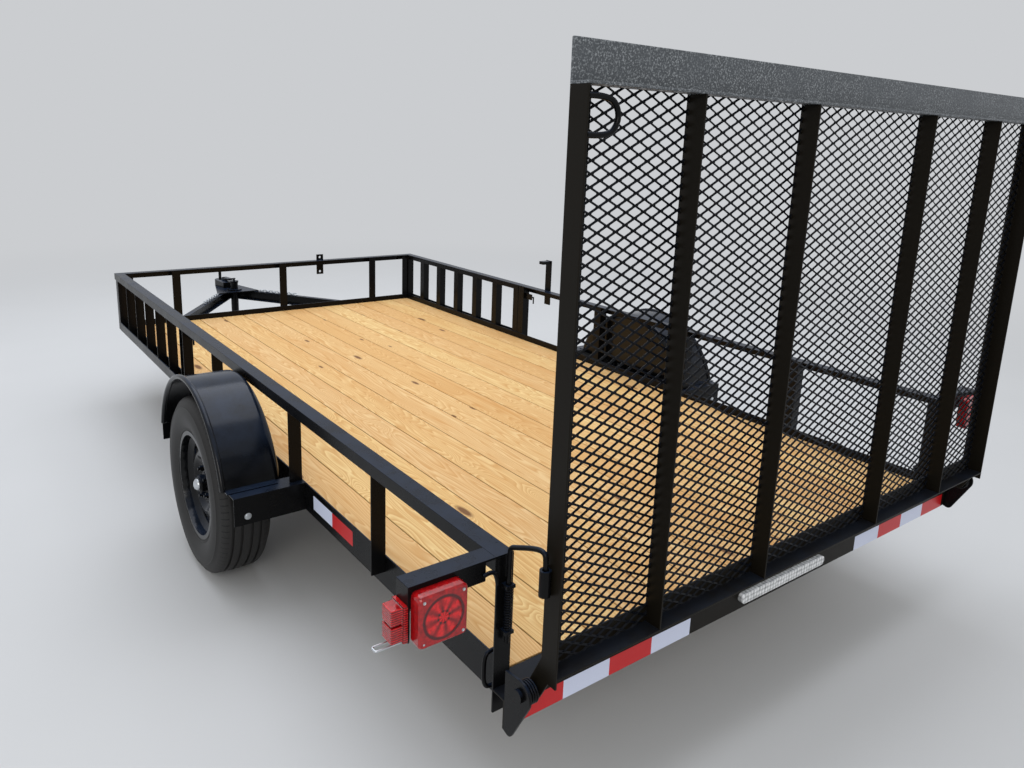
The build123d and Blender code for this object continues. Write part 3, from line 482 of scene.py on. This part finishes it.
zinc = new_material("bright zinc plated steel")
tree = zinc.node_tree
place = node(tree, "ShaderNodeTexCoord").outputs["Object"]
plating = node(tree, "ShaderNodeTexNoise", {"Vector": place}, Scale=260.0, Detail=3.0)
gloss = ranged(tree, plating.outputs["Fac"], to_low=0.22, to_high=0.42)
surface = node(tree, "ShaderNodeBsdfPrincipled", {"Roughness": gloss}, Metallic=1.0)
surface.inputs["Base Color"].default_value = linear("#c9cdd1")
finish_material(zinc, surface)

loop_low, loop_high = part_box("gate_loop")
x, y, top, bottom = loop_low[0] + 5 * mm, loop_high[1], loop_high[2] - 5 * mm, loop_low[2] + 5 * mm
middle, reach = (top + bottom) / 2, y - loop_low[1] - 5 * mm
loop = bent_rod([
    (x, y, top), (x, y - 0.7 * reach, top + 2 * mm), (x, y - reach, middle + 14 * mm),
    (x, y - reach, middle - 14 * mm), (x, y - 0.7 * reach, bottom - 2 * mm), (x, y, bottom),
], 6 * mm, "gate", "gate_corner_loop", black_enamel)
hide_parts("gate_loop")

clip_low, clip_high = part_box("loop_clips")
wire = 2.5 * mm
clip_reach = 67 * mm
x0, x1, z = clip_low[0] + wire, clip_high[0] - wire, clip_low[2] + wire
for side_name, sign in (("left", 1), ("right", -1)):
    inner, outer = sign * (clip_high[1] - clip_reach), sign * (clip_high[1] - wire)
    bend = (inner + 4 * outer) / 5
    bent_rod([
        (x0, inner, z), (x0, bend, z), (x0, outer, z), ((x0 + x1) / 2, outer, z),
        (x1, outer, z), (x1, bend, z), (x1, inner, z),
    ], wire, "trailer", f"wire_loop_{side_name}", zinc)
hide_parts("loop_clips")

frame_side_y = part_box("frame_side_left")[1][1]
tie_loop_x = posts_x + 62 * mm
tie_loop_bends = ((-6, 492), (6, 476), (7, 442), (6, 408), (-6, 392))  # across from the middle, height
for side_name, sign in (("left", 1), ("right", -1)):
    face, middle = sign * (frame_side_y - 2 * mm), sign * (frame_side_y + 22 * mm)
    bends = [(tie_loop_x, middle + across * mm, height * mm) for across, height in tie_loop_bends]
    bent_rod([(tie_loop_x, face, 490 * mm), *bends, (tie_loop_x, face, 394 * mm)],
             5.5 * mm, "trailer", f"tie_loop_{side_name}", black_enamel)

rod_x, nose_x = posts_x - 12 * mm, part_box("gate_latches")[0][0] + 6 * mm
lead_x = posts_x - 5 * mm
latch_bends = (  # from, along it, across from the trailer's middle, height
    (rod_x, 0, 1024, 560), (rod_x, 0, 1024, 680), (rod_x, 0, 1024, 783), (rod_x, -3, 1024, 799),
    (rod_x, -24, 1024, 808), (rod_x, -66, 1022, 826), (nose_x, 20, 1022, 838), (nose_x, 3, 1022, 836),
    (nose_x, 0, 1022, 822), (nose_x, 0, 1022, 803))
lead_bends = ((lead_x, 0, 1090, 744), (lead_x, 0, 1070, 750), (lead_x, 0, 1054, 738), (lead_x, 0, 1050, 712))
for side_name, sign in (("left", 1), ("right", -1)):
    for name, radius, bends in (("latch_rod", 6 * mm, latch_bends), ("lamp_lead", 5 * mm, lead_bends)):
        bent_rod([(x + along * mm, sign * across * mm, height * mm) for x, along, across, height in bends],
                 radius, "trailer", f"{name}_{side_name}", black_enamel)
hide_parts("gate_latches")


# ---- tyres ----------------------------------------------------------------------------
# Moulded rubber trailer tyres, 205/75 on 15 inch rims: five tread ribs between four
# grooves, notched shoulders and plain sidewalls with fine moulded rings. Each is spun.
def spun(points, steps, centre):
    """Spin a closed outline of (radius, across) points, in mm, about a level axle through centre."""
    outline = bpy.data.curves.new("outline", "CURVE")
    outline.dimensions = "3D"
    line = outline.splines.new("POLY")
    line.points.add(len(points) - 1)
    for point, (radius, across) in zip(line.points, points):
        point.co = (0, across * mm, radius * mm, 1.0)
    line.use_cyclic_u = True
    turned = bpy.data.objects.new("outline", outline)
    bpy.context.collection.objects.link(turned)
    select_only(turned)
    bpy.ops.object.convert(target="MESH")
    turned = bpy.context.object
    bpy.ops.object.mode_set(mode="EDIT")
    bpy.ops.mesh.select_all(action="SELECT")
    bpy.ops.mesh.spin(steps=steps, angle=math.tau, center=(0, 0, 0), axis=(0, 1, 0))
    bpy.ops.mesh.select_all(action="SELECT")
    bpy.ops.mesh.remove_doubles(threshold=0.00001)
    bpy.ops.mesh.normals_make_consistent(inside=False)
    bpy.ops.object.mode_set(mode="OBJECT")
    bpy.ops.object.shade_smooth_by_angle(angle=math.radians(32))
    turned.location = centre
    return turned


tyre_mid = [(low + high) / 2 for low, high in zip(*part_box("tyre_left"))]
notch_count, notch_share = 84, 0.16
rubber = new_material("moulded tyre rubber")
tree = rubber.node_tree
place = node(tree, "ShaderNodeTexCoord").outputs["Object"]
apart = node(tree, "ShaderNodeSeparateXYZ", {"Vector": place})
along = arithmetic(tree, "SUBTRACT", apart.outputs["X"], tyre_mid[0])
height = arithmetic(tree, "SUBTRACT", apart.outputs["Z"], tyre_mid[2])
off_middle = arithmetic(tree, "SUBTRACT", arithmetic(tree, "ABSOLUTE", apart.outputs["Y"]), tyre_mid[1])
off_middle = arithmetic(tree, "ABSOLUTE", off_middle)
turn = arithmetic(tree, "MULTIPLY", arithmetic(tree, "ARCTAN2", height, along), notch_count / math.tau)
solid = arithmetic(tree, "GREATER_THAN", arithmetic(tree, "FRACT", turn), notch_share)
past_tread = arithmetic(tree, "GREATER_THAN", off_middle, 62 * mm)
past_shoulder = arithmetic(tree, "GREATER_THAN", off_middle, 86 * mm)
shoulder = arithmetic(tree, "SUBTRACT", past_tread, past_shoulder)
cut = arithmetic(tree, "MULTIPLY", arithmetic(tree, "SUBTRACT", solid, 1.0), shoulder)
grain = node(tree, "ShaderNodeTexNoise", {"Vector": place}, Scale=160.0, Detail=4.0).outputs["Fac"]
# The rubber is dusty in random tone, and the shoulder notches are painted near black as the shade inside them.
dusty_with_notch_shade = blend(tree, arithmetic(tree, "ABSOLUTE", cut), blend(tree, grain, "#1a1919", "#2a2928"), "#060606")
rise = node(tree, "ShaderNodeBump", {"Height": cut}, Strength=1.0, Distance=5 * mm)
bump = node(tree, "ShaderNodeBump", {"Height": grain, "Normal": rise.outputs[0]}, Strength=0.15, Distance=0.4 * mm)
surface = node(tree, "ShaderNodeBsdfPrincipled", {"Base Color": dusty_with_notch_shade, "Normal": bump.outputs[0]},
               Roughness=0.55, **{"Specular IOR Level": 0.35})
finish_material(rubber, surface)
half_tyre = (  # radius and distance from the middle in mm, from the bead over the sidewall to the tread
    (196, 60), (199, 76), (206, 83), (212, 85), (214, 88), (217, 88.5), (219, 87), (236, 96), (256, 101.5),
    (270, 102.5), (284, 101.5), (300, 97.5), (302, 98.5), (305, 98), (307, 95), (320, 89), (331, 82), (337, 75),
    (340, 68), (341.5, 54), (334, 52.5), (334, 45.5), (342, 44), (343.2, 23), (336, 21.5), (336, 14.5), (344, 13))
tyre_outline = [*half_tyre, *((radius, -across) for radius, across in reversed(half_tyre))]
for side_name, sign in (("left", 1), ("right", -1)):
    tyre = finish_piece(spun(tyre_outline, 120, (tyre_mid[0], sign * tyre_mid[1], tyre_mid[2])),
                        f"{side_name}_trailer_tyre", f"wheel_{side_name}_body", rubber)
    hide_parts(f"tyre_{side_name}")


# ---- wheels and hubs ------------------------------------------------------------------
# Pressed steel wheels in gloss black with eight hand holes, on a five-stud hub whose
# pressed dust cap is bright zinc.
cap_half = (24 * mm, 17 * mm, 24 * mm)
for side_name, sign in (("left", 1), ("right", -1)):
    dress(f"wheel_{side_name}", wet_enamel)
    eased(f"wheel_{side_name}", 1.5)
    dress(f"hub_{side_name}", black_enamel)
    hub_low, hub_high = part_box(f"hub_{side_name}")
    hub_tip = hub_high[1] if sign > 0 else hub_low[1]
    bpy.ops.mesh.primitive_uv_sphere_add(segments=32, ring_count=16, radius=1.0,
                                         location=(tyre_mid[0], hub_tip - sign * 2 * mm, tyre_mid[2]))
    cap = bpy.context.object
    cap.scale = cap_half
    bpy.ops.object.shade_smooth()
    finish_piece(cap, f"dust_cap_{side_name}", f"wheel_{side_name}_body", zinc)


# ---- fender edges and bolts -----------------------------------------------------------
# Each fender's outer edge is rolled over a bar. Zinc carriage bolts clamp its feet to the
# brackets: low round heads on the brackets' far faces.
roll_radius, roll_bar, roll_z = 409 * mm, 10.5 * mm, 355 * mm
for side_name, sign in (("left", 1), ("right", -1)):
    fender_low, fender_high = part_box(f"fender_{side_name}")
    edge_y = fender_high[1] if sign > 0 else fender_low[1]
    bpy.ops.mesh.primitive_torus_add(
        major_radius=roll_radius, minor_radius=roll_bar, major_segments=120, minor_segments=16,
        rotation=(math.pi / 2, 0, 0), location=(tyre_mid[0], edge_y - sign * 6 * mm, roll_z))
    roll = bpy.context.object
    bpy.ops.object.transform_apply(location=True, rotation=True)
    bpy.ops.object.mode_set(mode="EDIT")
    bpy.ops.mesh.select_all(action="SELECT")
    bpy.ops.mesh.bisect(plane_co=(0, 0, fender_low[2]), plane_no=(0, 0, -1), clear_outer=True, use_fill=True)
    bpy.ops.object.mode_set(mode="OBJECT")
    bpy.ops.object.shade_smooth()
    finish_piece(roll, f"fender_edge_{side_name}", "trailer", wet_enamel)

bolt_y, bolt_z = 1208 * mm, 402 * mm
washer_radius, washer_thick, head_rise = 12 * mm, 2 * mm, 2.5 * mm
bracket_low, bracket_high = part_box("fender_brackets")
bolts = []
for sign in (1, -1):
    for bolt_x, outward in ((bracket_low[0], -1), (bracket_high[0], 1)):
        bpy.ops.mesh.primitive_cylinder_add(vertices=24, radius=washer_radius, depth=washer_thick,
                                            rotation=(0, outward * math.pi / 2, 0),
                                            location=(bolt_x, sign * bolt_y, bolt_z))
        bolt = bpy.context.object
        bpy.ops.object.mode_set(mode="EDIT")
        bpy.ops.mesh.select_all(action="DESELECT")
        bpy.ops.object.mode_set(mode="OBJECT")
        for face in bolt.data.polygons:
            face.select = face.normal.z > 0.9
        bpy.ops.object.mode_set(mode="EDIT")
        bpy.ops.mesh.inset(thickness=2.5 * mm)
        bpy.ops.mesh.extrude_region_move(TRANSFORM_OT_translate={"value": (outward * head_rise, 0, 0)})
        bpy.ops.mesh.bevel(offset=1.8 * mm, segments=4, affect="EDGES")
        bpy.ops.object.mode_set(mode="OBJECT")
        bpy.ops.object.shade_smooth_by_angle(angle=math.radians(40))
        bolts.append(bolt)
finish_piece(joined(bolts), "fender_bolt_heads", "trailer", zinc)


# ---- coil springs ---------------------------------------------------------------------
# Oil-hardened steel wire wound into coils: heavy ones round the gate's hinge pins help
# lift it, fine ones push the two latch rods down. All wear the trailer's black.
def coil(wire, mean, run, turns, name, start, along_y=False):
    """A round-wire coil of a mean radius, from a start point up, or along Y."""
    bpy.ops.mesh.primitive_circle_add(vertices=10, radius=wire / 2, location=(mean, 0, 0), rotation=(math.pi / 2, 0, 0))
    wound = bpy.context.object
    bpy.ops.object.transform_apply(location=True, rotation=True)
    screw = wound.modifiers.new("wind", "SCREW")
    screw.axis = "Z"
    screw.angle = math.tau * turns
    screw.screw_offset = run
    screw.steps = screw.render_steps = 24 * turns
    screw.use_normal_calculate = True
    apply_all(wound)
    bpy.ops.object.mode_set(mode="EDIT")
    bpy.ops.mesh.select_all(action="SELECT")
    bpy.ops.mesh.normals_make_consistent(inside=False)
    bpy.ops.object.mode_set(mode="OBJECT")
    bpy.ops.object.shade_smooth()
    if along_y:
        wound.rotation_euler = (-math.pi / 2, 0, 0)
    wound.location = start
    return finish_piece(wound, name, "trailer", black_enamel)


spring_low, spring_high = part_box("gate_springs")
pin_x, pin_z = (spring_low[0] + spring_high[0]) / 2, (spring_low[2] + spring_high[2]) / 2
latch_low, latch_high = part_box("latch_springs")
latch_x, latch_radius = (latch_low[0] + latch_high[0]) / 2, (latch_high[0] - latch_low[0]) / 2
for side_name, sign in (("left", 1), ("right", -1)):
    pin_y = spring_high[1] - 29 * mm if sign > 0 else 2 * mm - spring_high[1]
    coil(5.6 * mm, 25 * mm, 26 * mm, 4, f"gate_coil_{side_name}", (pin_x, pin_y, pin_z), along_y=True)
    coil(2.4 * mm, 9.5 * mm, latch_high[2] - latch_low[2] - 3 * mm, 16, f"latch_coil_{side_name}",
         (latch_x, sign * (latch_high[1] - latch_radius), latch_low[2] + 1.5 * mm))
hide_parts("gate_springs")
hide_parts("latch_springs")


# ---- safety chains --------------------------------------------------------------------
# Zinc plated proof coil chain, one welded run on each side of the coupler.
dress("safety_chains", zinc)
eased("safety_chains", 1.0)


# ---- lamps ----------------------------------------------------------------------------
# Sealed lamps moulded in red acrylic. The square tail lamps show a round reflector of
# eight petals; the markers are bulging lenses with level flutes.
# The light and dark that the reflector and the flutes show is painted reflection in the lenses' colour.
lamp_low, lamp_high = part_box("tail_lamps")
lamp_half, petal_count = 60 * mm, 8


def petal_reflector(tree, place):
    """Painted reflection: the light and dark of a round reflector, a bright eye, petals, a dark ring and a plain rim.
    """
    apart = node(tree, "ShaderNodeSeparateXYZ", {"Vector": place})
    out = arithmetic(tree, "ABSOLUTE", apart.outputs["Y"])
    out = arithmetic(tree, "SUBTRACT", out, lamp_high[1] - lamp_half)
    up = arithmetic(tree, "SUBTRACT", apart.outputs["Z"], (lamp_low[2] + lamp_high[2]) / 2)
    turn = arithmetic(tree, "MULTIPLY", arithmetic(tree, "ARCTAN2", up, out), petal_count)
    flat = node(tree, "ShaderNodeCombineXYZ", {"X": out, "Y": up})
    far = node(tree, "ShaderNodeVectorMath", {0: flat.outputs[0]}, operation="LENGTH").outputs["Value"]
    zones = ranged(tree, far, 0.0, lamp_half)
    rings = ramped(tree, zones, (0.0, 1.0), (0.17, 0.75), (0.22, 0.1), (0.3, 0.5), (0.7, 0.62),
                   (0.76, 0.03), (0.83, 0.03), (0.87, 0.42), (1.0, 0.38))
    wave = arithmetic(tree, "MULTIPLY", arithmetic(tree, "SINE", turn), ranged(tree, zones, 0.76, 0.7))
    return arithmetic(tree, "ADD", rings, arithmetic(tree, "MULTIPLY", wave, 0.3))


def level_flutes(tree, place):
    """Painted reflection: the light and dark of level flutes."""
    flutes = node(tree, "ShaderNodeTexWave", {"Vector": place}, wave_type="BANDS", bands_direction="Z", Scale=60.0)
    return arithmetic(tree, "MULTIPLY", flutes.outputs["Fac"], 0.7)


def acrylic(name, deep, bright, pattern):
    """Red acrylic: the light and dark of a pattern behind a polished face, painted into its colour as reflection."""
    made = new_material(name)
    tree = made.node_tree
    place = node(tree, "ShaderNodeTexCoord").outputs["Object"]
    height = pattern(tree, place)
    cells = node(tree, "ShaderNodeTexNoise", {"Vector": place}, Scale=120.0, Detail=3.0)
    depth = arithmetic(tree, "MULTIPLY", height, cells.outputs["Fac"])
    depth = arithmetic(tree, "MULTIPLY", depth, 2.2, clamped=True)
    bump = node(tree, "ShaderNodeBump", {"Height": height}, Strength=0.5, Distance=3 * mm)
    surface = node(
        tree, "ShaderNodeBsdfPrincipled",
        {"Base Color": blend(tree, depth, deep, bright), "Normal": bump.outputs[0]},
        Roughness=0.16, **{"Specular IOR Level": 0.4, "Coat Weight": 0.4, "Coat Roughness": 0.05})
    return finish_material(made, surface)


petal_acrylic = acrylic("red acrylic over a petal reflector", "#3f0205", "#d9161b", petal_reflector)
fluted_acrylic = acrylic("fluted red acrylic", "#5e0408", "#d8171c", level_flutes)
dress("tail_lamps", petal_acrylic)
eased("tail_lamps", 5.0)
for name in ("side_markers", "ramp_markers"):
    dress(name, fluted_acrylic)
    eased(name, 4.0)

screw_inset = 12 * mm
screw_steps = (screw_inset, 2 * lamp_half - screw_inset)
screws = []
for sign in (1, -1):
    for out in screw_steps:
        for up in screw_steps:
            bpy.ops.mesh.primitive_cylinder_add(
                vertices=16, radius=3.6 * mm, depth=3 * mm, rotation=(0, -math.pi / 2, 0),
                location=(lamp_low[0], sign * (lamp_high[1] - out), lamp_low[2] + up))
            screw_head = bpy.context.object
            for face in screw_head.data.polygons:
                face.select = face.normal.z > 0.9
            bpy.ops.object.mode_set(mode="EDIT")
            bpy.ops.mesh.select_mode(type="FACE")
            bpy.ops.mesh.inset(thickness=1.2 * mm)
            bpy.ops.mesh.inset(thickness=1.0 * mm, depth=-1.2 * mm)
            bpy.ops.object.mode_set(mode="OBJECT")
            screws.append(screw_head)
finish_piece(joined(screws), "lamp_screws", "trailer", zinc)

# The light bar's lens is clear, over foil with coarse prisms; the prisms' bright and dark facets are painted
# reflection.
clear = new_material("clear acrylic over foil")
tree = clear.node_tree
place = node(tree, "ShaderNodeTexCoord").outputs["Object"]
prisms = node(tree, "ShaderNodeTexVoronoi", {"Vector": place}, Scale=75.0, Randomness=0.25).outputs["Distance"]
painted_facet_reflection = ramped(tree, prisms, (0.2, "#f0f1f2"), (0.75, "#7d8082"))
bump = node(tree, "ShaderNodeBump", {"Height": prisms}, Strength=0.8, Distance=2 * mm)
surface = node(tree, "ShaderNodeBsdfPrincipled", {"Base Color": painted_facet_reflection, "Normal": bump.outputs[0]},
               Roughness=0.2, **{"Coat Weight": 0.7, "Coat Roughness": 0.08})
finish_material(clear, surface)
dress("id_light_bar", clear)
eased("id_light_bar", 2.0)


# ---- conspicuity tape -----------------------------------------------------------------
# Retroreflective sheeting, 2 inches wide in 6 inch blocks of red and white, pressed onto
# the rear sill and the frame's sides. Its fine honeycomb shows as faint cells.
def sheeting(name, tint_hex, cell_hex):
    """Retroreflective sheeting in one colour."""
    made = new_material(name)
    tree = made.node_tree
    place = node(tree, "ShaderNodeTexCoord").outputs["Object"]
    cells = node(tree, "ShaderNodeTexVoronoi", {"Vector": place}, Scale=300.0, Randomness=0.1)
    wall = ranged(tree, cells.outputs["Distance"], 0.42, 0.55, 0.0, 0.35)
    surface = node(tree, "ShaderNodeBsdfPrincipled", {"Base Color": blend(tree, wall, tint_hex, cell_hex)},
                   Roughness=0.32, **{"Specular IOR Level": 0.4})
    return finish_material(made, surface)


sheetings = {
    "red": sheeting("red retroreflective sheeting", "#c5161a", "#a01014"),
    "white": sheeting("white retroreflective sheeting", "#d3d9ee", "#bcc4dd"),
}
block, tape_wide, tape_thick = 152.4 * mm, 50.8 * mm, 0.3 * mm
sill_x, sill_end, sill_z = posts_x - 45 * mm, 1024 * mm, 389.5 * mm
side_z = 427.5 * mm
strips = []  # tint, centre, size
for sign in (1, -1):
    for i, tint in enumerate(("red", "white", "red", "white")):
        strips.append((tint, (sill_x, sign * (sill_end - (i + 0.5) * block), sill_z), (tape_thick, block, tape_wide)))
for sign in (1, -1):
    for tint, ahead_of_post in (("white", 1053 * mm), ("red", 900.5 * mm)):
        centre = (posts_x + ahead_of_post, sign * frame_side_y, side_z)
        strips.append((tint, centre, (block, tape_thick, tape_wide)))
blocks = {"red": [], "white": []}
for tint, centre, size in strips:
    bpy.ops.mesh.primitive_cube_add(size=1.0, location=centre)
    strip = bpy.context.object
    strip.scale = size
    bpy.ops.object.transform_apply(location=True, scale=True)
    blocks[tint].append(strip)
for tint, pieces in blocks.items():
    finish_piece(joined(pieces), f"tape_{tint}_blocks", "trailer", sheetings[tint])
